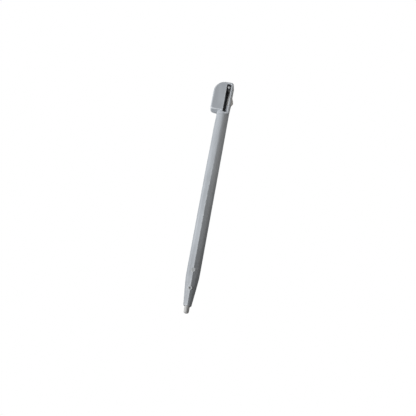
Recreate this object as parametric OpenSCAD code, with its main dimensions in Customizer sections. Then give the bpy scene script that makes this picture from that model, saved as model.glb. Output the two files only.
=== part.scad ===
// Hand-held touch-screen stylus: a faceted hollow barrel with a pressed-in nib at one end and a
// flat overhanging head at the other. A springy leaf in the head's slot carries a detent nub,
// which stands out through the side wall and clicks into a stylus holder.
// It lies on its back: +Y runs from the nib to the head, +Z is the side with the slot.

/* [Overall] */
// Whole length, nib tip to top of head
total_l = 87; // [85:0.1:90]
// Barrel size, ridge to ridge
barrel_d = 4.78; // [4.5:0.02:4.8]

/* [Nose and nib] */
// Diameter of the nib
nib_d = 1.82; // [1.8:0.02:2]
// Length of nib that shows
nib_out = 2.5; // [2.4:0.05:3.4]
// Length of nib shank inside the barrel
nib_shank_l = 14.8; // [14:0.1:16]
// Radius at the edge of the nib's end
nib_tip_r = 0.7; // [0.3:0.05:0.9]
// Diameter across the ridges at the nose's end
nose_end_d = 2.84; // [2.8:0.02:3.2]
// Length of the tapered nose
nose_l = 10.25; // [9.5:0.05:11]
// Diameter of the two dowels that hold the nib
dowel_d = 0.9; // [0.8:0.02:1]
// Diameter of the dowels' round heads
dowel_head_d = 1.5; // [1.3:0.02:1.6]
// Length of each dowel
dowel_l = 3.1; // [2.9:0.05:3.2]
// Distance of the lower dowel from the nib tip
low_dowel_y = 8.5; // [7.5:0.05:9]
// Distance of the upper dowel from the nib tip
high_dowel_y = 14.85; // [14:0.05:15.5]

/* [Head] */
// Length of the head on its overhanging side
head_l = 11.25; // [10.8:0.05:11.4]
// Reach of the head's overhanging side from the barrel axis
head_reach = 4.6; // [4.4:0.05:5]
// Height of the head's front face over the barrel axis
head_front_z = 2.44; // [2.4:0.01:2.5]
// Radius of the head's outer top corner, seen from the front
head_outer_r = 3.85; // [3:0.05:4]
// Radius of the head's inner top corner, seen from the front
head_inner_r = 1.3; // [0.8:0.05:1.5]
// Radius that rounds the overhanging side into the back
head_back_r = 2.1; // [1.5:0.05:2.2]
// Thickness of the back cover
cover_t = 0.97; // [0.9:0.01:1]

/* [Slot and detent] */
// Width of the slot
slot_w = 1.66; // [1.6:0.01:1.7]
// Height of the nub over the head's side wall
nub_h = 0.64; // [0.5:0.01:0.66]
// Distance from the anchor pin to the nub's peak
nub_arm = 4.95; // [4.8:0.05:5.2]
// Thickness of the leaf's arm
leaf_t = 0.58; // [0.5:0.01:0.6]
// Diameter of the anchor pin's shank
pin_d = 0.8; // [0.76:0.01:0.84]

/* [Hidden] */
$fn = 48;
cut = 1;                 // how far a cutting tool runs past a face
run_gap = 0.03;          // radial running clearance of the leaf on its pin
seat_gap = 0.01;         // clearance between pieces that are pressed or glued together
side_gap = 0.05;         // clearance of the leaf from the walls around it

barrel_r = barrel_d / 2;
head_top_y = total_l;
head_low_y = total_l - head_l;
joint_y = head_low_y - 1.75;         // where the barrel ends and the head's collar begins
nose_end_y = nib_out;
nose_top_y = nose_end_y + nose_l;
nose_edge = 0.2;                     // chamfer at the nose's end
nib_r = nib_d / 2;
core_r = 1.3;                        // bore of the hollow barrel
core_low_y = 19;
dowel_y = [low_dowel_y, high_dowel_y];
dowel_top_z = [2.02, 2.14];          // height of each dowel's outer end over the barrel axis
dowel_head_t = 0.5;
spigot_l = 9;
cover_z = -barrel_r + cover_t;       // plane between head shell and back cover
cover_low_y = head_low_y + 0.5;

slot_right_x = barrel_r - 0.77;      // inner face of the thin wall beside the slot
slot_left_x = slot_right_x - slot_w;
slot_low_y = head_low_y - 0.65;
slot_top_y = head_top_y - 0.65;
slot_corner_r = 0.45;
slot_mid_x = (slot_left_x + slot_right_x) / 2;
tongue_low_y = slot_low_y - 0.5;     // rounded surround below the slot
tongue_back_z = 0.4;
ledge_top_y = slot_low_y + 2.5;      // fixed ledge below the leaf's free end
ledge_z = 0.9;
shell_wall = 0.9;
cavity_side = 1.3;                   // wall of the overhanging side, thick enough for its rounded back
cavity_top_z = head_front_z - 1.1;

pin_x = slot_mid_x;
pin_y = slot_top_y - 1.19;
nub_y = pin_y - nub_arm;
nub_rise = 1.7;                      // length of the nub's flank on the head side
nub_fall = 1.25;                     // length of the nub's flank on the nib side
nub_base = barrel_r - slot_right_x + side_gap;
window_gap = [0.35, 0.15];           // room beside the nub, towards the nib and towards the head
window_top_z = 1.15;
leaf_low_y = pin_y - 7.1;
leaf_low_z = cover_z + side_gap + 0.02;
leaf_top_z = 1.3;
leaf_eye_z = 0.2;
leaf_eye_r = slot_w / 2 - 0.1;
leaf_x = slot_right_x - side_gap - leaf_t;
pin_low_z = -barrel_r + 0.32;
pin_head_r = 0.52;
pin_head_z = [leaf_eye_z + 0.06, 2.2];

// Moves a piece from the barrel-axis frame to the part's own frame
part_mid_x = (barrel_r + nub_h - head_reach) / 2;
module place() translate([-part_mid_x, -total_l / 2, barrel_r]) children();

// Extrudes an X-Z outline along Y, from y_high down to y_low
module along_y(y_low, y_high, end_scale = 1)
    translate([0, y_high, 0]) rotate([90, 0, 0])
        linear_extrude(height = y_high - y_low, scale = end_scale) children();

// Turns a profile of [radius, distance] points about the barrel axis, distances along +Y
module turned_y(profile) rotate([-90, 0, 0]) rotate_extrude() polygon(profile);

module round_bar_y(r, y_low, y_high)
    translate([0, y_low, 0]) rotate([-90, 0, 0]) cylinder(r = r, h = y_high - y_low);

function unit(v) = v / norm(v);

// Arc that rounds the corner p between the points before and after it
function corner_arc(before, p, after, r, steps = 6) =
    let (u = unit(before - p),
         w = unit(after - p),
         half = acos(u * w) / 2,
         centre = p + unit(u + w) * r / sin(half),
         start = p + u * r / tan(half) - centre,
         end = p + w * r / tan(half) - centre,
         from = atan2(start.y, start.x),
         turn = (atan2(end.y, end.x) - from + 540) % 360 - 180)
    [for (i = [0:steps]) centre + r * [cos(from + turn * i / steps), sin(from + turn * i / steps)]];

// Outline through corners, each given as [x, y, radius]
function rounded(c) =
    let (n = len(c), p = [for (v = c) [v.x, v.y]])
    [for (i = [0:n - 1]) each corner_arc(p[(i + n - 1) % n], p[i], p[(i + 1) % n], c[i].z)];

module rounded_box_outline(x, y, r)
    polygon(rounded([[x[0], y[0], r], [x[1], y[0], r], [x[1], y[1], r], [x[0], y[1], r]]));

// Eight-sided barrel section, with crisp ridges front, back and at the sides, and softer edges between
module barrel_section() {
    ridge_r = 0.2;
    soft_r = 1;
    polygon(rounded([for (i = [0:7])
        [barrel_r * cos(45 * i), barrel_r * sin(45 * i), i % 2 == 0 ? ridge_r : soft_r]]));
}

module barrel() {
    nose_scale = nose_end_d / barrel_d;
    tip_scale = (nose_end_d - 2 * nose_edge) / nose_end_d;
    color("#9a9fa3") difference() {
        union() {
            along_y(nose_top_y, joint_y - seat_gap) barrel_section();
            along_y(nose_end_y + nose_edge, nose_top_y, nose_scale) barrel_section();
            along_y(nose_end_y, nose_end_y + nose_edge, tip_scale) scale(nose_scale) barrel_section();
        }
        round_bar_y(core_r, core_low_y, joint_y + cut);
        round_bar_y(nib_r + seat_gap, nose_end_y - cut, core_low_y + cut);
        for (i = [0, 1]) dowel(i, seat_gap);
    }
}

module nib() {
    tip_arc = [for (a = [0:15:90]) [nib_r - nib_tip_r + nib_tip_r * sin(a), nib_tip_r * (1 - cos(a))]];
    shank_end = nib_out + nib_shank_l;
    shank_edge = 0.3;
    color("#b4b6b4") difference() {
        turned_y(concat([[0, 0]], tip_arc,
            [[nib_r, shank_end - shank_edge], [nib_r - shank_edge, shank_end], [0, shank_end]]));
        for (i = [0, 1]) dowel(i, seat_gap);
    }
}

// One headed dowel across the barrel, or the hole for it when gap is over 0
module dowel(i, gap = 0) {
    top_z = dowel_top_z[i] + (gap > 0 ? cut : 0);
    shank_z = dowel_top_z[i] - dowel_l - gap;
    head_z = dowel_top_z[i] - dowel_head_t - gap;
    translate([0, dowel_y[i], shank_z]) cylinder(d = dowel_d + 2 * gap, h = top_z - shank_z);
    translate([0, dowel_y[i], head_z]) cylinder(d = dowel_head_d + 2 * gap, h = top_z - head_z);
}

module nib_dowels() {
    dimple_r = 0.3;
    dimple_l = [0.3, 0.12];
    color("#a8acae") for (i = [0, 1]) difference() {
        dowel(i);
        translate([0, dowel_y[i], dowel_top_z[i] - dimple_l[i]])
            cylinder(r = dimple_r, h = dimple_l[i] + cut);
    }
}

// The head's block seen from the front, with its overhang on the left
module block_outline() polygon(rounded([
    [-head_reach, head_low_y, 0.35],
    [barrel_r, head_low_y, 0.2],
    [barrel_r, head_top_y, head_inner_r],
    [-head_reach, head_top_y, head_outer_r]]));

// The rounded surround of the slot's lower end, which reaches down the front of the barrel
module tongue_outline() polygon(rounded([
    [-2.6, head_low_y + 2, 0.5],
    [-2.05, head_low_y + 0.05, 1.2],
    [0.15, tongue_low_y, 0.9],
    [1.2, tongue_low_y, 0.9],
    [barrel_r, head_low_y + 0.1, 0.8],
    [barrel_r, head_low_y + 2, 0.1]]));

// The head seen along the barrel
module head_section() {
    edge_r = 0.25;
    inner_back_r = 0.9;
    polygon(rounded([
        [-head_reach, head_front_z, edge_r],
        [-head_reach, -barrel_r, head_back_r],
        [barrel_r, -barrel_r, inner_back_r],
        [barrel_r, head_front_z, edge_r]]));
}

module head_form() intersection() {
    union() {
        translate([0, 0, -barrel_r - cut]) linear_extrude(height = head_front_z + barrel_r + 2 * cut)
            block_outline();
        translate([0, 0, tongue_back_z]) linear_extrude(height = head_front_z - tongue_back_z + cut)
            tongue_outline();
    }
    along_y(tongue_low_y - cut, head_top_y + cut) head_section();
}

// Space behind the head's back cover, grown by gap on its three faces
module cover_space(gap = 0)
    translate([-head_reach - cut, cover_low_y - gap, -barrel_r - cut])
        cube([head_reach + barrel_r + 2 * cut, head_l + cut, cover_t + cut + gap]);

// Hollow inside the overhanging side, with its walls moved inwards by inset
module head_cavity(inset, z_low, z_high) {
    left_x = -head_reach + cavity_side + inset;
    right_x = slot_left_x - shell_wall - inset;
    low_y = cover_low_y + shell_wall + inset;
    top_y = head_top_y - shell_wall - inset;
    corner_r = 0.25;
    outer_corner_r = 1.4;
    translate([0, 0, z_low]) linear_extrude(height = z_high - z_low) polygon(rounded([
        [left_x, low_y, corner_r],
        [right_x, low_y, corner_r],
        [right_x, top_y, corner_r],
        [left_x, top_y, outer_corner_r]]));
}

// Slot through the front face, with a fixed ledge left standing beyond the leaf's free end
module leaf_slot() difference() {
    translate([0, 0, cover_z - cut]) linear_extrude(height = head_front_z - cover_z + 2 * cut)
        rounded_box_outline([slot_left_x, slot_right_x], [slot_low_y, slot_top_y], slot_corner_r);
    translate([leaf_x, slot_low_y - cut, cover_z - 2 * cut])
        cube([slot_w, ledge_top_y - slot_low_y + cut, ledge_z - cover_z + 2 * cut]);
    translate([slot_left_x - cut, slot_low_y - cut, cover_z - 2 * cut])
        cube([slot_w + 2 * cut, cover_low_y - slot_low_y + cut, 2 * cut]);
}

// Window in the thin side wall, open at the back so that the leaf and its nub can be laid in
module nub_window()
    translate([slot_right_x - cut, nub_y - nub_fall - window_gap[0], cover_z - cut])
        cube([barrel_r - slot_right_x + 2 * cut, nub_fall + nub_rise + window_gap[0] + window_gap[1],
              window_top_z - cover_z + cut]);

module head_shell()
    color("#9a9fa3") difference() {
        union() {
            difference() {
                head_form();
                cover_space(seat_gap);
                head_cavity(0, cover_z - cut, cavity_top_z);
            }
            along_y(joint_y, cover_low_y - seat_gap) barrel_section();
            round_bar_y(core_r - seat_gap, joint_y - spigot_l, joint_y + seat_gap);
        }
        leaf_slot();
        nub_window();
    }

module head_back_cover() {
    pad_h = 0.45;
    color("#9a9fa3") difference() {
        union() {
            intersection() {
                head_form();
                cover_space();
            }
            head_cavity(side_gap, cover_z - 0.1, cover_z + pad_h);
        }
        translate([pin_x, pin_y, pin_low_z - seat_gap]) cylinder(d = pin_d + 2 * seat_gap, h = 3);
    }
}

// Leaf: an eye round the anchor pin, an arm along the slot's right wall, and the nub on the arm
module detent_leaf() {
    arm_right = leaf_x + leaf_t;
    nub_foot_x = arm_right + nub_base;
    foot_low = nub_y - nub_fall;
    foot_top = nub_y + nub_rise;
    nub_edge = 0.12;
    height = leaf_top_z - leaf_low_z;
    ramp_y = [pin_y - 1.2, pin_y - 4.3];
    color("#b4b6b4") difference() {
        translate([0, 0, leaf_low_z]) union() {
            translate([pin_x, pin_y, 0]) cylinder(r = leaf_eye_r, h = height);
            linear_extrude(height = height)
                polygon([[leaf_x, leaf_low_y + 0.2], [leaf_x + 0.2, leaf_low_y],
                         [arm_right, leaf_low_y], [arm_right, pin_y], [leaf_x, pin_y]]);
            linear_extrude(height = window_top_z - 0.1 - leaf_low_z)
                polygon([[arm_right - 0.1, foot_low], [nub_foot_x, foot_low],
                         [nub_foot_x + nub_h - nub_edge / 2, nub_y - nub_edge],
                         [nub_foot_x + nub_h, nub_y],
                         [nub_foot_x + nub_h - nub_edge / 2, nub_y + nub_edge],
                         [nub_foot_x, foot_top], [arm_right - 0.1, foot_top]]);
        }
        translate([pin_x, pin_y, leaf_low_z - cut]) cylinder(d = pin_d + 2 * run_gap, h = 6);
        translate([pin_x - 2, 0, 0]) rotate([90, 0, 90]) linear_extrude(height = 4)
            polygon([[pin_y + 2, leaf_eye_z], [ramp_y[0], leaf_eye_z], [ramp_y[1], leaf_top_z],
                     [ramp_y[1], leaf_top_z + 1], [pin_y + 2, leaf_top_z + 1]]);
    }
}

module anchor_pin() {
    dome = 0.2;
    color("#b9bcc0") translate([pin_x, pin_y, 0]) rotate_extrude() polygon([
        [0, pin_low_z], [pin_d / 2 - 0.1, pin_low_z], [pin_d / 2, pin_low_z + 0.1],
        [pin_d / 2, pin_head_z[0]], [pin_head_r, pin_head_z[0]],
        each [for (a = [0:15:90])
            [pin_head_r - dome + dome * cos(a), pin_head_z[1] - dome + dome * sin(a)]],
        [0, pin_head_z[1]]]);
}

place() barrel();
place() nib();
place() nib_dowels();
place() head_shell();
place() head_back_cover();
place() detent_leaf();
place() anchor_pin();
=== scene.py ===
"""Looks of a grey touch-screen stylus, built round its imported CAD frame.

The stylus lies on its back: +Y runs from the nib to the head, +Z is the side with the slot.
Shapes are worked out in millimetres from the nib's tip on the barrel's axis, then placed in metres.
"""

import math

import bpy
import numpy as np
import openvdb
from mathutils import Matrix, Vector


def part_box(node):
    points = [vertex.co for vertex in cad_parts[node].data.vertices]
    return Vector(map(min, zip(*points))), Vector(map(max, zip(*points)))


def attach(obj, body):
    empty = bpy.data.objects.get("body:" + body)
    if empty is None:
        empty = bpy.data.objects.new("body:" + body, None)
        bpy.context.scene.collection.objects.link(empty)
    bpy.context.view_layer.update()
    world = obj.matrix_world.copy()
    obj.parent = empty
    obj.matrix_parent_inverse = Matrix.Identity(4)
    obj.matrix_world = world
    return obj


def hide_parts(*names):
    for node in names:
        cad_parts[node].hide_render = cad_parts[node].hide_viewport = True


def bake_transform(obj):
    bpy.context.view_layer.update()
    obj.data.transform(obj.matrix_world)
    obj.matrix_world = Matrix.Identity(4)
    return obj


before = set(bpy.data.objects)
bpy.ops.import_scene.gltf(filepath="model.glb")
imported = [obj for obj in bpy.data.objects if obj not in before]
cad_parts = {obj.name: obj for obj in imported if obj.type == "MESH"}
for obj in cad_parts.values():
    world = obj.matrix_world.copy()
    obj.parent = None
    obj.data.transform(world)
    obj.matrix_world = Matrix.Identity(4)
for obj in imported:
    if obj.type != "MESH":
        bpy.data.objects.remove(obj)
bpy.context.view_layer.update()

# ---------------------------------------------------------------- sizes from the frame

MM = 0.001
boxes = {name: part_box(name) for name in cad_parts}
nib_low, nib_high = boxes["nib"]
ORIGIN = Vector(((nib_low.x + nib_high.x) / 2, nib_low.y, (nib_low.z + nib_high.z) / 2))


def place(x, y, z):
    """A point given in millimetres from the nib's tip, in the row frame in metres."""
    return ORIGIN + Vector((x, y, z)) * MM


def low(node):
    """A CAD node's lowest corner, in millimetres from the nib's tip."""
    return (boxes[node][0] - ORIGIN) / MM


def high(node):
    """A CAD node's highest corner, in millimetres from the nib's tip."""
    return (boxes[node][1] - ORIGIN) / MM


# Names end in _R for a radius, _L for a length, _W for a width, _T for a thickness, and _X, _Y or _Z
# for a place.

TOTAL_L = high("head_shell").y
SEAM = 0.01  # gap between glued or pressed pieces
SHARP_R = 0.03  # edges of the joint between barrel and head, and under the pin's head
FINE_R = 0.05  # edges of small parts, of the cover's joint and of the hollow
SOFT_R = 0.06  # edges of holes and small openings
EASED_R = 0.08  # edges of the leaf's arm, of the ledge and of the pin's foot

# Barrel: a faceted tube with a tapered nose
BARREL_R = -low("head_back_cover").z
JOINT_Y = high("barrel").y
NOSE_END_Y = low("barrel").y
NOSE_L = 10.1
TAPER_SOFT_L = 1.0  # the taper starts gently over about this length
NOSE_END_R = 1.405
NOSE_EDGE_R = 0.32
RIDGE_R, SIDE_RIDGE_R = 0.08, 0.06
FACET_SOFT_R = 0.3  # edges between the two facets of one quarter
ROUNDNESS, ROUND_Y = 0.75, (32, 72)  # share by which the facets fade into a circle, and where
HEAD_DRIFT, HEAD_DRIFT_Y = 0.3, (38, 60)  # the front ridge's drift to the right near the head
NOSE_DRIFT, NOSE_DRIFT_Y = 0.1, (6, 16)  # its drift to the right on the nose
LEFT_DRAW_IN = ((0.045, (52, 64)), (0.075, (68, 76)))  # shares by which the left side draws in
CORE_R, CORE_LOW_Y = 1.3, 19.0
NIB_BORE_TOP_Y = CORE_LOW_Y + 1

# Nib and the two dowels that hold it
NIB_R = high("nib").x
NIB_L = high("nib").y
NIB_TIP_R = 0.7
NIB_INNER_END_R = 0.3
MOUTH_GAP = 0.1  # play between the nib and the nose's mouth, closing over MOUTH_Y
MOUTH_Y = (NOSE_END_Y + 0.3, NOSE_END_Y + 0.9)
DOWEL_R, DOWEL_L = 0.45, 3.1
DOWEL_HEAD_R, DOWEL_HEAD_T = high("nib_dowels").x, 0.5
DOWEL_EDGE_R = 0.07
DOWEL_Y = (low("nib_dowels").y + DOWEL_HEAD_R, high("nib_dowels").y - DOWEL_HEAD_R)
DOWEL_TOP_Z = (high("nib_dowels").z - 0.12, high("nib_dowels").z + 0.05)
DIMPLE_R, DIMPLE_DEPTH = 0.3, 0.3

# Head: a flat block that overhangs on the left, closed by a back cover
HEAD_REACH = -low("head_shell").x
HEAD_FRONT_Z = high("head_shell").z
COVER_LOW_Y = low("head_back_cover").y
COVER_Z = -BARREL_R + 0.97
HEAD_LOW_Y = COVER_LOW_Y - 0.5
SPIGOT_LOW_Y = low("head_shell").y
OUTER_CORNER_R, INNER_CORNER_R = 4.05, 1.0
OUTER_LOW_CORNER_R, INNER_LOW_CORNER_R = 0.4, 0.1
FRONT_R, LEFT_FRONT_EXTRA_R, RIGHT_FRONT_EXTRA_R = 0.27, 0.3, 0.12
BACK_R, INNER_BACK_R, LOW_BACK_R = 3.0, 0.9, 0.6
INNER_LOW_BACK_EXTRA_R = 1.3
FAIRING_R, FAIRING_EXTRA_R = 0.4, BARREL_R - 0.5  # its right front corner, which turns round
FAIRING_LEFT_R, FAIRING_LEFT_X = BARREL_R - 0.1, 0.3 - BARREL_R
FAIRING_LOW_Y, FAIRING_TOP_Y = JOINT_Y + 0.1, HEAD_LOW_Y + 0.3
FAIRING_ROUND_Y, FAIRING_DROP_Y = (0.5, 1.6), (0.8, 1.6)  # measured down from the block
FAIRING_DROP = 0.25
COLLAR_FILLET_R = 0.1
NECK_FILLET_R, NECK_FILLET_LEFT_EXTRA_R = 0.02, 0.13
SPIGOT_TOP_Y = JOINT_Y + 0.5
PAD_T, PAD_GAP = 0.45, 0.05
SHELL_WALL, CAVITY_SIDE = 0.9, 1.3
CAVITY_CORNER_R, CAVITY_OUTER_CORNER_R = 0.25, 1.4
CAVITY_TOP_Z = HEAD_FRONT_Z - 1.1

# Slot, with a fixed ledge below the leaf's free end
SLOT_W = 1.66
SLOT_RIGHT_X = BARREL_R - 0.77
SLOT_LEFT_X = SLOT_RIGHT_X - SLOT_W
SLOT_LOW_Y, SLOT_TOP_Y = HEAD_LOW_Y - 0.65, TOTAL_L - 0.65
SLOT_CORNER_R = 0.45
SLOT_RIGHT_EXTRA_R = 0.12  # the slot's rim is rounder on the right by this
LEDGE_TOP_Y, LEDGE_Z = low("detent_leaf").y - 0.06, 1.6

# Anchor pin, and the leaf with its nub
PIN_LOW, PIN_HIGH = low("anchor_pin"), high("anchor_pin")
PIN_X = (PIN_LOW.x + PIN_HIGH.x) / 2
PIN_Y = (PIN_LOW.y + PIN_HIGH.y) / 2
PIN_R = 0.4
PIN_HEAD_R = (PIN_HIGH.x - PIN_LOW.x) / 2
PIN_DOME_R = 0.4
LEAF_LOW, LEAF_HIGH = low("detent_leaf"), high("detent_leaf")
LEAF_X = (SLOT_RIGHT_X - 0.63, SLOT_RIGHT_X - 0.05)
LEAF_EYE_Z = 0.2
LEAF_RISE_Y = (1.0, 4.5)  # measured down from the pin, where the arm rises to its full height
ARM_CORNER_R, EYE_FILLET_R = 0.12, 0.25
EYE_GAP, EYE_EDGE_R = 0.03, 0.04
PIN_HEAD_LOW_Z, PIN_SHANK_TOP_Z = LEAF_EYE_Z + 0.06, PIN_HIGH.z - 0.5
NUB_Y = PIN_Y - 4.95
NUB_RISE, NUB_FALL = 1.7, 1.1
NUB_PEAK_R, NUB_TOP_R, NUB_FILLET_R = 0.05, 0.1, 0.1
NUB_ROOT_X, NUB_TOP_GAP = LEAF_X[0] + 0.1, 0.1
WINDOW_LOW_X, WINDOW_TOP_Z = SLOT_RIGHT_X - 0.2, 1.15
WINDOW_Y = (NUB_Y - NUB_FALL - 0.3, NUB_Y + NUB_RISE + 0.15)

# ---------------------------------------------------------------- distance fields, in millimetres
# A field is negative inside a solid. Fields are built from planes and joined with rounded edges.


def both(a, b, r=0.0):
    """What two fields have in common, with the edge between them rounded."""
    u, v = np.maximum(a + r, 0), np.maximum(b + r, 0)
    return np.minimum(-r, np.maximum(a, b)) + np.hypot(u, v)


def either(a, b, r=0.0):
    """Two fields joined, with a fillet in the corner between them."""
    return -both(-a, -b, r)


def cut(a, b, r=0.0):
    """Field a with field b taken out of it, and the rim rounded."""
    return both(a, -b, r)


def step(t, start, end):
    """0 before start and 1 after end, with a smooth rise between them."""
    s = np.clip((t - start) / (end - start), 0, 1)
    return s * s * (3 - 2 * s)


def rounded_rectangle(x, y, x_span, y_span, r):
    """An upright prism over a rectangle with rounded corners."""
    cx, cy = sum(x_span) / 2, sum(y_span) / 2
    qx = np.abs(x - cx) - (x_span[1] - x_span[0]) / 2 + r
    qy = np.abs(y - cy) - (y_span[1] - y_span[0]) / 2 + r
    return np.hypot(np.maximum(qx, 0), np.maximum(qy, 0)) + np.minimum(np.maximum(qx, qy), 0) - r


def slot_outline(x, y):
    """The slot seen from the front."""
    return rounded_rectangle(x, y, (SLOT_LEFT_X, SLOT_RIGHT_X), (SLOT_LOW_Y, SLOT_TOP_Y), SLOT_CORNER_R)


def barrel_section(x, y, z, scale=1.0):
    """Eight facets, crisp along the front, back and sides, and rounder towards the head.

    The front ridge drifts a little to the right near the head and on the nose, and the left side
    draws in under the overhang.
    """
    size = BARREL_R * scale
    drift = HEAD_DRIFT * step(y, *HEAD_DRIFT_Y) + NOSE_DRIFT * (1 - step(y, *NOSE_DRIFT_Y))
    narrower = sum(share * step(y, *y_span) for share, y_span in LEFT_DRAW_IN)
    x = x * np.where(x < 0, 1 + narrower, 1)
    x = x - drift * (1 - np.minimum((x / size) ** 2, 1))
    apothem = size * math.cos(math.pi / 8)
    angles = [math.radians(22.5 + 45 * i) for i in range(8)]
    facet = [x * math.cos(a) + z * math.sin(a) - apothem for a in angles]
    quarter = [both(facet[i], facet[i + 1], FACET_SOFT_R) for i in (0, 2, 4, 6)]
    right = both(quarter[3], quarter[0], SIDE_RIDGE_R)
    left = both(quarter[1], quarter[2], SIDE_RIDGE_R)
    octagon = both(right, left, RIDGE_R)
    section = octagon + ROUNDNESS * step(y, *ROUND_Y) * (np.hypot(x, z) - size - octagon)
    return np.maximum(section, -BARREL_R - z)


def dowel_space(x, y, z, i, gap=0.0):
    """One headed dowel, square-edged and open upwards."""
    r = np.hypot(x, y - DOWEL_Y[i])
    shank = np.maximum(r - DOWEL_R - gap, DOWEL_TOP_Z[i] - DOWEL_L - gap - z)
    head = np.maximum(r - DOWEL_HEAD_R - gap, DOWEL_TOP_Z[i] - DOWEL_HEAD_T - gap - z)
    return np.minimum(shank, head)


def barrel_field(x, y, z):
    """A long faceted tube with a tapered nose, bored for the nib and drilled for the two dowels."""
    below = NOSE_END_Y + NOSE_L - y
    scale = 1 - (1 - NOSE_END_R / BARREL_R) / NOSE_L * (below + np.hypot(below, TAPER_SOFT_L)) / 2
    outside = barrel_section(x, y, z, scale)
    outside = both(outside, NOSE_END_Y - y, NOSE_EDGE_R)
    outside = both(outside, y - JOINT_Y, SHARP_R)
    r = np.hypot(x, z)
    mouth = NIB_R + SEAM + MOUTH_GAP * (1 - step(y, *MOUTH_Y))
    barrel = cut(outside, np.maximum(r - mouth, y - NIB_BORE_TOP_Y), SOFT_R)
    barrel = cut(barrel, np.maximum(r - CORE_R, CORE_LOW_Y - y))
    for i in (0, 1):
        barrel = cut(barrel, dowel_space(x, y, z, i, SEAM), SOFT_R)
    return barrel


def nib_field(x, y, z):
    """A round rod with a blunt writing end, and seats for the two dowels."""
    nib = both(both(np.hypot(x, z) - NIB_R, -y, NIB_TIP_R), y - NIB_L, NIB_INNER_END_R)
    for i in (0, 1):
        nib = cut(nib, dowel_space(x, y, z, i, SEAM))
    return nib


def nib_dowels_field(x, y, z):
    """Two flat-headed dowels; only the lower one has a dimple in its head."""
    lower, upper = (both(dowel_space(x, y, z, i), z - DOWEL_TOP_Z[i], DOWEL_EDGE_R) for i in (0, 1))
    dimple = np.maximum(np.hypot(x, y - DOWEL_Y[0]) - DIMPLE_R, DOWEL_TOP_Z[0] - DIMPLE_DEPTH - z)
    return np.minimum(cut(lower, dimple, SOFT_R), upper)


def from_pin(x, y):
    """Distance from the pin's axis."""
    return np.hypot(x - PIN_X, y - PIN_Y)


def anchor_pin_field(x, y, z):
    """A domed head over the leaf's eye, and a shank down to the back cover."""
    r = from_pin(x, y)
    head = both(both(r - PIN_HEAD_R, z - PIN_HIGH.z, PIN_DOME_R), PIN_HEAD_LOW_Z - z, FINE_R)
    shank = np.maximum(both(r - PIN_R, PIN_LOW.z - z, EASED_R), z - PIN_SHANK_TOP_Z)
    return either(head, shank, SHARP_R)


def head_form(x, y, z):
    """The head's outside: a flat block with an overhang on the left."""
    left, right = -HEAD_REACH - x, x - BARREL_R
    top, bottom = y - TOTAL_L, HEAD_LOW_Y - y
    outer = both(both(left, top, OUTER_CORNER_R), bottom, OUTER_LOW_CORNER_R)
    inner = both(both(right, top, INNER_CORNER_R), bottom, INNER_LOW_CORNER_R)
    near_left, near_right = step(-x, HEAD_REACH - 2.0, HEAD_REACH), step(x, 1.4, 2.2)
    front_r = FRONT_R + LEFT_FRONT_EXTRA_R * near_left + RIGHT_FRONT_EXTRA_R * near_right
    front = both(np.maximum(outer, inner), z - HEAD_FRONT_Z, front_r)
    back = both(left, -BARREL_R - z, BACK_R)
    in_middle = step(x, -HEAD_REACH + 0.3, -HEAD_REACH + 1.8) * (1 - step(x, 0.4, 1.6))
    low_part = 1 - step(y, HEAD_LOW_Y + 0.3, NUB_Y - 0.8)
    inner_back_r = INNER_BACK_R + INNER_LOW_BACK_EXTRA_R * low_part
    outer_part = both(front, back, LOW_BACK_R * in_middle)
    inner_part = both(right, -BARREL_R - z, inner_back_r)
    return np.maximum(outer_part, inner_part)


def fairing(x, y, z):
    """Eases the head's flat front and square right side into the round barrel below."""
    below = HEAD_LOW_Y - y
    corner_r = FAIRING_R + FAIRING_EXTRA_R * step(below, *FAIRING_ROUND_Y)
    front = z - HEAD_FRONT_Z + FAIRING_DROP * step(below, *FAIRING_DROP_Y)
    surface = both(both(x - BARREL_R, front, corner_r), FAIRING_LEFT_X - x, FAIRING_LEFT_R)
    ends = np.maximum(FAIRING_LOW_Y - y, y - FAIRING_TOP_Y)
    return np.maximum(surface, np.maximum(ends, -z))


def cover_space(x, y, z, gap=0.0):
    """Where the back cover goes, behind the head shell."""
    return np.maximum(COVER_LOW_Y - gap - y, z - COVER_Z - gap)


def slot_space(x, y, z):
    """The slot, less the fixed ledge at its lower right."""
    ledge = np.maximum(np.maximum(LEAF_X[0] - x, y - LEDGE_TOP_Y), z - LEDGE_Z)
    return cut(np.maximum(slot_outline(x, y), COVER_Z - z), ledge, EASED_R)


def window_space(x, y, z):
    """The opening in the thin side wall that the nub stands out through."""
    middle, half = sum(WINDOW_Y) / 2, (WINDOW_Y[1] - WINDOW_Y[0]) / 2
    return np.maximum(np.maximum(np.abs(y - middle) - half, z - WINDOW_TOP_Z), WINDOW_LOW_X - x)


def head_shell_field(x, y, z):
    """The head's block, the collar below it and the spigot that goes into the barrel."""
    collar = both(np.maximum(barrel_section(x, y, z), y - COVER_LOW_Y), JOINT_Y + SEAM - y, SHARP_R)
    collar = either(collar, fairing(x, y, z), COLLAR_FILLET_R)
    collar = np.maximum(collar, np.maximum(JOINT_Y + SEAM - y, x - BARREL_R))
    fillet_r = NECK_FILLET_R + NECK_FILLET_LEFT_EXTRA_R * step(-x, -0.6, 0.2)
    shell = either(head_form(x, y, z), collar, fillet_r)
    shell = np.maximum(shell, np.maximum(np.maximum(x, -z) - BARREL_R, z - HEAD_FRONT_Z))
    shell = cut(shell, cover_space(x, y, z, SEAM), FINE_R)
    shell = cut(shell, head_cavity(x, y, z, 0, COVER_Z - 1, CAVITY_TOP_Z), FINE_R)
    rim_r = SOFT_R + SLOT_RIGHT_EXTRA_R * step(x, 0.4, 1.0)
    shell = cut(shell, slot_space(x, y, z), rim_r)
    shell = cut(shell, window_space(x, y, z), SOFT_R)
    spigot_ends = np.maximum(SPIGOT_LOW_Y - y, y - SPIGOT_TOP_Y)
    return np.minimum(shell, np.maximum(np.hypot(x, z) - CORE_R + SEAM, spigot_ends))


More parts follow.
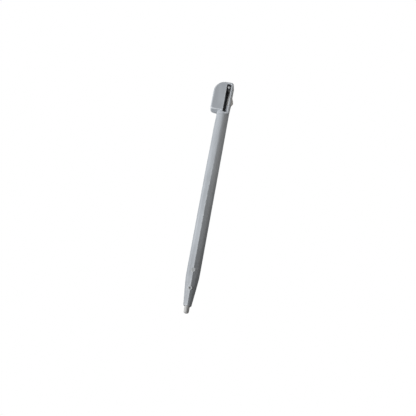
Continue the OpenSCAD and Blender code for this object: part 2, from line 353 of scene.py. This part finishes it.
def head_cavity(x, y, z, inset, z_low, z_high):
    """Hollow inside the overhanging side, with its walls moved inwards by inset."""
    x_span = (-HEAD_REACH + CAVITY_SIDE + inset, SLOT_LEFT_X - SHELL_WALL - inset)
    y_span = (COVER_LOW_Y + SHELL_WALL + inset, TOTAL_L - SHELL_WALL - inset)
    outline = rounded_rectangle(x, y, x_span, y_span, CAVITY_CORNER_R)
    corner = both(x_span[0] - x, y - y_span[1], CAVITY_OUTER_CORNER_R)
    return np.maximum(np.maximum(outline, corner), np.maximum(z_low - z, z - z_high))


def head_back_cover_field(x, y, z):
    """The head's back, with a pad that sits in the hollow and a hole for the pin's foot."""
    cover = both(head_form(x, y, z), cover_space(x, y, z), FINE_R)
    pad = head_cavity(x, y, z, PAD_GAP, COVER_Z - 0.1, COVER_Z + PAD_T)
    cover = np.minimum(cover, pad)
    return cut(cover, np.maximum(from_pin(x, y) - PIN_R - SEAM, PIN_LOW.z - SEAM - z))


def nub_field(x, y, z):
    """A wedge with its peak at NUB_Y, steeper on the nib's side."""
    peak_x = LEAF_HIGH.x
    fall = (peak_x - BARREL_R) / NUB_FALL
    rise = (peak_x - BARREL_R) / NUB_RISE
    lower = (x - peak_x + (NUB_Y - y) * fall) / math.hypot(1, fall)
    upper = (x - peak_x + (y - NUB_Y) * rise) / math.hypot(1, rise)
    nub = both(lower, upper, NUB_PEAK_R)
    y_span = (NUB_Y - NUB_FALL, NUB_Y + NUB_RISE)
    sides = rounded_rectangle(x, y, (NUB_ROOT_X, peak_x + 1), y_span, FINE_R)
    return both(np.maximum(nub, sides), z - WINDOW_TOP_Z + NUB_TOP_GAP, NUB_TOP_R)


def detent_leaf_field(x, y, z):
    """An eye round the pin, an arm along the slot's right wall, and the nub on the arm."""
    eye = from_pin(x, y) - (PIN_X - LEAF_LOW.x)
    arm = rounded_rectangle(x, y, LEAF_X, (LEAF_LOW.y, PIN_Y), ARM_CORNER_R)
    top = LEAF_EYE_Z + (LEAF_HIGH.z - LEAF_EYE_Z) * step(PIN_Y - y, *LEAF_RISE_Y)
    strip = both(either(eye, arm, EYE_FILLET_R), z - top, EASED_R)
    leaf = both(either(strip, nub_field(x, y, z), NUB_FILLET_R), LEAF_LOW.z - z, FINE_R)
    return cut(leaf, from_pin(x, y) - PIN_R - EYE_GAP, EYE_EDGE_R)


# ---------------------------------------------------------------- dirt and painted shade
# Where a piece is darkened, from 0 to 1: dirt and wear, and painted shade.

# darker towards the nose, more on the sides and further up on the right
NOSE_DARKENING, NOSE_DARKENING_SIDE_EXTRA = 0.28, 0.15
NOSE_DARKENING_LOW_Y, NOSE_DARKENING_TOP_Y, NOSE_DARKENING_RIGHT_EXTRA_L = 3, 36, 22  # it fades between the first two places
# painted shade on the nose's end face round the nib
RING_SHADE = 0.9
# Painted shade: deep in the slot, extra just below the pin, on the strip right of the slot, and below
# the block.
SLOT_SHADE, NEAR_PIN_EXTRA_SHADE = 0.4, 0.6
BESIDE_SLOT_SHADE, BELOW_BLOCK_SHADE = 0.2, 0.22


def barrel_darkening_and_shade(x, y, z):
    """Darker towards the nose, more on the sides and further up on the right, and painted shade on the
    nose's end face round the nib.
    """
    even_from_y = NOSE_DARKENING_TOP_Y + NOSE_DARKENING_RIGHT_EXTRA_L * step(x, 0, 0.5)
    on_sides = step(np.abs(x), 0.3, 0.9)
    toward_nose = (NOSE_DARKENING + NOSE_DARKENING_SIDE_EXTRA * on_sides) * (1 - step(y, NOSE_DARKENING_LOW_Y, even_from_y))
    # painted shade on the nose's end face round the nib
    ring = (1 - step(y, NOSE_END_Y + 0.02, NOSE_END_Y + 0.2)) * (1 - step(np.hypot(x, z), 1.05, 1.3))
    return np.maximum(toward_nose, RING_SHADE * ring)


def head_painted_shade(x, y, z):
    """Painted shade deep in the slot, darkest just below the pin, and a little on the strip beside the
    slot and below the block.
    """
    # painted shade where the slot is deep
    deep = step(-slot_outline(x, y), -0.12, -0.02) * step(-z, -2.0, -0.6)
    # painted shadow of the pin, just below it
    near_pin = step(y, PIN_Y - 3.5, PIN_Y - 1.5) * (1 - step(y, PIN_Y - 0.2, PIN_Y + 0.5))
    ledge = step(x, LEAF_X[0] - 0.05, LEAF_X[0] + 0.05) * (1 - step(y, LEDGE_TOP_Y, LEDGE_TOP_Y + 0.1))
    in_slot = deep * (SLOT_SHADE + NEAR_PIN_EXTRA_SHADE * near_pin) * (1 - ledge)
    # painted shade on the strip right of the slot, and on the collar below the block, mostly under the
    # overhang on the left
    strip = step(x, 1.5, 1.8) * (1 - step(x, 2.1, 2.3))
    below_block = step(-y, -HEAD_LOW_Y, 0.5 - HEAD_LOW_Y) * (1 - 0.7 * step(x, 0.2, 0.9))
    return np.maximum(in_slot, np.maximum(BESIDE_SLOT_SHADE * strip, BELOW_BLOCK_SHADE * below_block))


def nib_soil(x, y, z):
    """The writing end, which rubs on the screen."""
    return step(-y, -1.1, -0.1)


def clean(x, y, z):
    """Nothing darkened anywhere."""
    return 0 * x


# ---------------------------------------------------------------- meshes

MARGIN_CELLS, EXTRA_CELLS = 2.5, 4  # cells of empty space sampled below the box, and above it
ADAPTIVITY = 0.02  # how far flat places may be simplified
PULLS = 4  # times the points are pulled onto the surface
LEAST_SLOPE = 0.2  # squared; it keeps the pulls short where a field is nearly flat


def slope(field, p, h=0.012):
    """The field's gradient at each point."""
    d = np.eye(3) * h
    return np.stack([(field(*(p + d[i]).T) - field(*(p - d[i]).T)) / (2 * h) for i in range(3)], 1)


def sharpness(field, p, h):
    """How tightly the surface curves at each point, per millimetre.

    It is above 0 on edges and below 0 in creases.
    """
    d = np.eye(3) * h
    around = sum(field(*(p + d[i]).T) + field(*(p - d[i]).T) for i in range(3))
    return (around - 6 * field(*p.T)) / h ** 2


def outward(points, faces, normals):
    """The faces wound so that they look the way the normals do."""
    if len(faces) == 0:
        return []
    a, b, c = (points[faces[:, i]] for i in (0, 1, 2))
    facing = (np.cross(b - a, c - a) * normals[faces[:, 0]]).sum()
    return (faces if facing > 0 else faces[:, ::-1]).tolist()


def sampled_surface(node, field, cell):
    """Points, quads and triangles of the surface where a field is zero, inside a CAD node's box."""
    start = np.array(low(node)) - MARGIN_CELLS * cell
    counts = np.ceil((np.array(high(node)) - start) / cell).astype(int) + EXTRA_CELLS
    x, y, z = np.meshgrid(*[start[i] + cell * np.arange(counts[i]) for i in range(3)], indexing="ij")
    grid = openvdb.FloatGrid(1.0)
    grid.copyFromArray(field(x, y, z).astype(np.float32))
    points, triangles, quads = grid.convertToPolygons(0.0, ADAPTIVITY)
    return start + np.array(points, float) * cell, quads.astype(int), triangles.astype(int)


def pulled_onto(points, field, cell):
    """The points moved along the field's slope until they lie on its surface."""
    for _ in range(PULLS):
        g = slope(field, points)
        size = np.maximum((g * g).sum(1), LEAST_SLOPE)
        points = points - np.clip(field(*points.T) / size, -cell, cell)[:, None] * g
    return points


def wear_and_shade_layers(points, field, dirt_and_shade):
    """What the materials need to know at each point, from 0 to 1: edges and rounded ridges, lightened as
    wear and as painted highlight; creases, darkened as painted shade; and darkening for dirty places and
    painted shade.

    Each step names the sharpness at which a kind of wear or painted light starts, and the one at which
    it is full.
    The joint between barrel and head stays unworn.
    """
    off_seam = step(np.abs(points[:, 1] - JOINT_Y), 0.2, 0.5)
    closely = sharpness(field, points, 0.07)
    tight_crease = step(-closely, 1.5, 8)
    wide_crease = step(-sharpness(field, points, 0.3), 0.5, 2)
    return {
        "edge": off_seam * step(closely, 1.5, 7),
        "rub_and_sheen": off_seam * step(sharpness(field, points, 0.25), 0.9, 2.6),
        "crease": np.maximum(tight_crease, 0.6 * wide_crease),
        "dirt_and_shade": dirt_and_shade(*points.T),
    }


def from_field(name, node, field, dirt_and_shade, cell):
    """A closed mesh of a field's surface, filling the box of the CAD node it stands for.

    Its points are pulled exactly onto the surface, and it is shaded with the field's own normals.
    """
    points, quads, triangles = sampled_surface(node, field, cell)
    points = pulled_onto(points, field, cell)
    normals = slope(field, points)
    normals /= np.linalg.norm(normals, axis=1)[:, None]
    faces = outward(points, quads, normals) + outward(points, triangles, normals)
    mesh = bpy.data.meshes.new(name)
    mesh.from_pydata([place(*p) for p in points], [], faces)
    mesh.polygons.foreach_set("use_smooth", [True] * len(mesh.polygons))
    mesh.normals_split_custom_set_from_vertices(normals.tolist())
    for layer, value in wear_and_shade_layers(points, field, dirt_and_shade).items():
        mesh.attributes.new(layer, "FLOAT", "POINT").data.foreach_set("value", value.astype(np.float32))
    piece = bpy.data.objects.new(name, mesh)
    bpy.context.scene.collection.objects.link(piece)
    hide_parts(node)
    return piece


# ---------------------------------------------------------------- materials

MIX_COLOUR_A, MIX_COLOUR_B, MIX_COLOUR_RESULT = 6, 7, 2  # the mix node's colour sockets


def times_colour(colour, factor):
    """The colour made darker or lighter."""
    return tuple(c * factor for c in colour[:3]) + (1.0,)


class Recipe:
    """A material's nodes, added one at a time. Inputs are numbers, colours or other nodes' outputs."""

    def __init__(self, name):
        self.material = bpy.data.materials.new(name)
        self.material.use_nodes = True
        self.tree = self.material.node_tree
        self.shader = self.tree.nodes["Principled BSDF"]
        place_on_piece = self.node("ShaderNodeTexCoord").outputs["Object"]
        scaled = self.node("ShaderNodeMapping", Vector=place_on_piece, Scale=(1 / MM,) * 3)
        self.mm = scaled.outputs[0]

    def node(self, kind, settings=None, **inputs):
        made = self.tree.nodes.new(kind)
        for name, value in (settings or {}).items():
            setattr(made, name, value)
        for name, value in inputs.items():
            self.feed(made.inputs[name.replace("_", " ")], value)
        return made

    def feed(self, socket, value):
        """Links a node's output to a socket, or sets the socket to a plain value."""
        if isinstance(value, bpy.types.NodeSocket):
            self.tree.links.new(value, socket)
        else:
            socket.default_value = value

    def stretched(self, scale):
        """Coordinates in millimetres, multiplied by a different number along each axis."""
        return self.node("ShaderNodeMapping", Vector=self.mm, Scale=scale).outputs[0]

    def noise(self, size, detail=2.0, rough=0.5, at=None, distort=0.0):
        """Cloudy noise from about 0.3 to 0.7, with features of a given size in millimetres."""
        return self.node("ShaderNodeTexNoise", Vector=at or self.mm, Scale=1 / size, Detail=detail,
                         Roughness=rough, Distortion=distort).outputs[0]

    def ramp(self, value, start, end, low=0.0, high=1.0):
        """Turns a value from start to end into one from low to high, smoothly."""
        return self.node("ShaderNodeMapRange", {"interpolation_type": "SMOOTHSTEP"}, Value=value,
                         From_Min=start, From_Max=end, To_Min=low, To_Max=high).outputs[0]

    def math(self, operation, a, b=0.0):
        made = self.node("ShaderNodeMath", {"operation": operation})
        self.feed(made.inputs[0], a)
        self.feed(made.inputs[1], b)
        return made.outputs[0]

    def times(self, a, b):
        return self.math("MULTIPLY", a, b)

    def mix(self, factor, a, b):
        """Colour a where the factor is 0, and colour b where it is 1."""
        made = self.node("ShaderNodeMix", {"data_type": "RGBA"}, Factor=factor)
        self.feed(made.inputs[MIX_COLOUR_A], a)
        self.feed(made.inputs[MIX_COLOUR_B], b)
        return made.outputs[MIX_COLOUR_RESULT]

    def layer(self, name):
        """A number stored on the mesh's points: edge sharpness, ridge rounding, crease, or darkening for
        dirty places and painted shade.
        """
        return self.node("ShaderNodeAttribute", {"attribute_name": name}).outputs["Fac"]

    def bump(self, height, depth, below=None):
        """Relief of a given depth in millimetres, on top of another bump."""
        made = self.node("ShaderNodeBump", Height=height, Distance=depth * MM, Strength=1.0)
        if below:
            self.feed(made.inputs["Normal"], below)
        return made.outputs[0]

    def finish(self, colour, roughness, normal):
        self.feed(self.shader.inputs["Base Color"], colour)
        self.feed(self.shader.inputs["Roughness"], roughness)
        self.feed(self.shader.inputs["Normal"], normal)
        return self.material


def moulded_plastic(name, colour, worn, crease_shade, roughness=0.46, dirt_and_shade_tone=0.35):
    """Satin moulded plastic: fine spark grain, faint flow marks, edges lightened as wear and as painted
    highlight, painted shade in creases, and darkening from the mesh's layer for dirty places and painted
    shade.
    """
    r = Recipe(name)
    flow = r.noise(3.0, detail=3, at=r.stretched((1.0, 0.35, 1.0)), distort=0.6)
    speck = r.noise(0.18, detail=2)
    shade = r.math("ADD", r.ramp(flow, 0.3, 0.7, -0.5, 0.5), r.ramp(speck, 0.3, 0.7, -0.25, 0.25))
    base = r.mix(r.ramp(shade, -0.7, 0.7), times_colour(colour, 0.93), times_colour(colour, 1.07))
    # edges and ridges lightened: partly wear, partly painted highlight
    wear_and_highlight = r.math("ADD", r.times(r.layer("edge"), 0.5), r.times(r.layer("rub_and_sheen"), 0.5))
    rubbed = r.times(wear_and_highlight, r.ramp(r.noise(1.1, detail=3), 0.4, 0.6, 0.45, 1.0))
    base = r.mix(r.times(rubbed, 0.8), base, worn)
    # painted shade in creases
    crease_darkening = r.times(r.layer("crease"), r.ramp(r.noise(0.5, detail=3), 0.35, 0.6, 0.5, 1.0))
    base = r.mix(r.times(crease_darkening, 0.5), base, crease_shade)
    # darkening from the mesh's layer: darker towards the barrel's nose, and painted shade in the slot,
    # below the head's block and round the nib
    dirt_and_shade = r.times(r.layer("dirt_and_shade"), r.ramp(r.noise(1.6, detail=4), 0.3, 0.6, 0.7, 1.0))
    base = r.mix(dirt_and_shade, base, times_colour(colour, dirt_and_shade_tone))
    scratch = r.noise(0.09, detail=1, at=r.stretched((1.0, 0.035, 1.0)), distort=0.3)
    fine = r.ramp(scratch, 0.66, 0.72)
    base = r.mix(r.times(fine, 0.16), base, worn)
    satin = r.ramp(flow, 0.3, 0.7, roughness - 0.04, roughness + 0.05)
    satin = r.math("ADD", satin, r.times(fine, -0.08))
    satin = r.math("SUBTRACT", satin, r.times(rubbed, 0.12))
    grain = r.bump(r.noise(0.11, detail=2, rough=0.6), 0.006)
    relief = r.bump(r.times(fine, -1.0), 0.004, grain)
    wave = r.bump(r.noise(2.4, detail=1), 0.012, relief)
    return r.finish(base, satin, wave)


def nib_plastic(name, colour, worn):
    """Hard slippery plastic, rubbed smooth and a little dirty at its writing end."""
    r = Recipe(name)
    rubbed = r.layer("dirt_and_shade")
    mottle = r.noise(0.9, detail=3)
    base = r.mix(r.ramp(mottle, 0.35, 0.65), times_colour(colour, 0.94), colour)
    patchy = r.times(rubbed, r.ramp(r.noise(0.35, detail=3), 0.4, 0.62, 0.3, 1.0))
    base = r.mix(r.times(patchy, 0.5), base, worn)
    satin = r.math("ADD", r.ramp(mottle, 0.35, 0.65, 0.36, 0.44), r.times(rubbed, 0.12))
    rings = r.bump(r.noise(0.12, detail=1, at=r.stretched((0.15, 1.0, 0.15))), 0.004)
    return r.finish(base, satin, r.bump(r.noise(0.08, detail=2), 0.003, rings))


def turned_steel(name, colour):
    """Small steel pin with fine turning marks and a few dull spots."""
    r = Recipe(name)
    r.shader.inputs["Metallic"].default_value = 0.35
    spots = r.ramp(r.noise(0.25, detail=3), 0.5, 0.62)
    base = r.mix(r.times(spots, 0.4), colour, times_colour(colour, 0.6))
    satin = r.ramp(spots, 0, 1, 0.48, 0.6)
    return r.finish(base, satin, r.bump(r.noise(0.06, detail=2), 0.003))


# ---------------------------------------------------------------- pieces

# dark colour painted into creases as shade
CREASE_SHADE = (0.10, 0.10, 0.10, 1)

# The worn colours lighten edges and ridges as wear and as painted highlight.
body = moulded_plastic(
    "body_plastic", colour=(0.375, 0.395, 0.415, 1), worn=(0.56, 0.58, 0.60, 1), crease_shade=CREASE_SHADE)
# painted light: the head is a lighter copy of the barrel's plastic so its flat front reads brighter, and
# its pale worn colour paints highlights on its edges
head_painted_lighter = moulded_plastic(
    "head_plastic_painted_lighter", colour=(0.424, 0.449, 0.476, 1), worn=(0.73, 0.75, 0.77, 1), crease_shade=CREASE_SHADE)
leaf_grey = moulded_plastic(
    "leaf_plastic", colour=(0.68, 0.66, 0.63, 1), worn=(0.84, 0.82, 0.79, 1),
    crease_shade=(0.10, 0.10, 0.09, 1), roughness=0.38)
dowel_grey = moulded_plastic(
    "dowel_plastic", colour=(0.41, 0.425, 0.43, 1), worn=(0.56, 0.57, 0.57, 1),
    crease_shade=(0.07, 0.07, 0.07, 1), roughness=0.42)
nib_white = nib_plastic("nib_plastic", colour=(0.43, 0.43, 0.42, 1), worn=(0.27, 0.265, 0.25, 1))
steel = turned_steel("pin_steel", colour=(0.50, 0.51, 0.51, 1))

# CAD node, its shape, its dirt and painted shade, its material, its slot, and the size of its mesh's
# cells in millimetres
PIECES = (
    ("barrel", barrel_field, barrel_darkening_and_shade, body, "body_plastic", 0.06),
    ("nib", nib_field, nib_soil, nib_white, "nib_plastic", 0.05),
    ("nib_dowels", nib_dowels_field, clean, dowel_grey, "dowel_plastic", 0.03),
    ("head_shell", head_shell_field, head_painted_shade, head_painted_lighter, "body_plastic", 0.06),
    ("head_back_cover", head_back_cover_field, head_painted_shade, head_painted_lighter, "body_plastic", 0.06),
    ("detent_leaf", detent_leaf_field, clean, leaf_grey, "leaf_plastic", 0.04),
    ("anchor_pin", anchor_pin_field, clean, steel, "pin_steel", 0.03),
)

for node, field, dirt_and_shade, material, slot, cell in PIECES:
    piece = from_field(node + "_skin", node, field, dirt_and_shade, cell)
    piece.data.materials.append(material)
    if node == "detent_leaf":
        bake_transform(piece)
    else:
        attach(piece, "stylus")

# ---------------------------------------------------------------- floor, light and camera

WHITE = (1.0, 1.0, 1.0, 1.0)
SEEN_WHITE = 1.0  # brightness that the camera sees
SURROUND = 0.15  # brightness that lights the stylus
PAPER = (0.3, 0.3, 0.3, 1)
FLOOR_REACH = 2  # metres
FLOOR_DROP = 0.00002
CAMERA_TARGET = (0.95, 38.565, 0.0)
SENSOR_WIDTH = 36


def bright_floor():
    """A pale floor that the camera sees as even white, and that bounces light like matt paper."""
    mesh = bpy.data.meshes.new("floor")
    corners = [(x * FLOOR_REACH, y * FLOOR_REACH, 0) for x, y in ((-1, -1), (1, -1), (1, 1), (-1, 1))]
    mesh.from_pydata(corners, [], [(0, 1, 2, 3)])
    floor = bpy.data.objects.new("floor", mesh)
    floor.location.z = -FLOOR_DROP
    bpy.context.scene.collection.objects.link(floor)
    material = bpy.data.materials.new("floor")
    material.use_nodes = True
    nodes, links = material.node_tree.nodes, material.node_tree.links
    nodes.clear()
    paper = nodes.new("ShaderNodeBsdfDiffuse")
    paper.inputs["Color"].default_value = PAPER
    glow = nodes.new("ShaderNodeEmission")
    glow.inputs["Strength"].default_value = SEEN_WHITE
    seen = nodes.new("ShaderNodeLightPath")
    blend = nodes.new("ShaderNodeMixShader")
    out = nodes.new("ShaderNodeOutputMaterial")
    links.new(seen.outputs["Is Camera Ray"], blend.inputs[0])
    links.new(paper.outputs[0], blend.inputs[1])
    links.new(glow.outputs[0], blend.inputs[2])
    links.new(blend.outputs[0], out.inputs["Surface"])
    mesh.materials.append(material)


def pale_surround():
    """Seen as white, but lighting the stylus only softly."""
    world = bpy.data.worlds.new("surround")
    world.use_nodes = True
    bpy.context.scene.world = world
    nodes, links = world.node_tree.nodes, world.node_tree.links
    background = nodes["Background"]
    background.inputs["Color"].default_value = WHITE
    seen = nodes.new("ShaderNodeLightPath")
    strength = nodes.new("ShaderNodeMapRange")
    strength.inputs["To Min"].default_value = SURROUND
    strength.inputs["To Max"].default_value = SEEN_WHITE
    links.new(seen.outputs["Is Camera Ray"], strength.inputs["Value"])
    links.new(strength.outputs[0], background.inputs["Strength"])


def soft_box(name, offset, side, power, colour=(1, 1, 1)):
    """A square area light at an offset in millimetres from the middle of the stylus, looking at it."""
    lamp = bpy.data.lights.new(name, "AREA")
    lamp.size = side * MM
    lamp.energy = power
    lamp.color = colour
    box = bpy.data.objects.new(name, lamp)
    away = Vector(offset) * MM
    box.location = place(0, TOTAL_L / 2, 0) + away
    box.rotation_euler = away.to_track_quat("Z", "Y").to_euler()
    bpy.context.scene.collection.objects.link(box)


def photo_camera(pitch=20.0, yaw=5.0, roll=10.36, distance=0.3607, lens=89.29):
    """Looks at the front from the nib's side and a little from the right, and leans the stylus right."""
    p, y, a = (math.radians(v) for v in (pitch, yaw, roll))
    back = Vector((math.sin(y), -math.sin(p) * math.cos(y), math.cos(p) * math.cos(y)))
    up = Vector((0, 1, 0))
    up = (up - up.dot(back) * back).normalized()
    right = up.cross(back)
    camera_x = right * math.cos(a) + up * math.sin(a)
    camera_y = up * math.cos(a) - right * math.sin(a)
    data = bpy.data.cameras.new("camera")
    data.lens = lens
    data.sensor_width = SENSOR_WIDTH
    data.clip_start = 0.01
    camera = bpy.data.objects.new("camera", data)
    turn = Matrix((camera_x, camera_y, back)).transposed().to_4x4()
    camera.matrix_world = Matrix.Translation(place(*CAMERA_TARGET) + back * distance) @ turn
    bpy.context.scene.collection.objects.link(camera)
    bpy.context.scene.camera = camera


bright_floor()
pale_surround()
soft_box("key_light", offset=(-410, -160, 235), side=240, power=3.45, colour=(0.99, 1.0, 1.02))
soft_box("right_light", offset=(85, 36, 40), side=70, power=0.025, colour=(1.0, 0.97, 0.93))
photo_camera()
bpy.context.scene.view_settings.view_transform = "Standard"
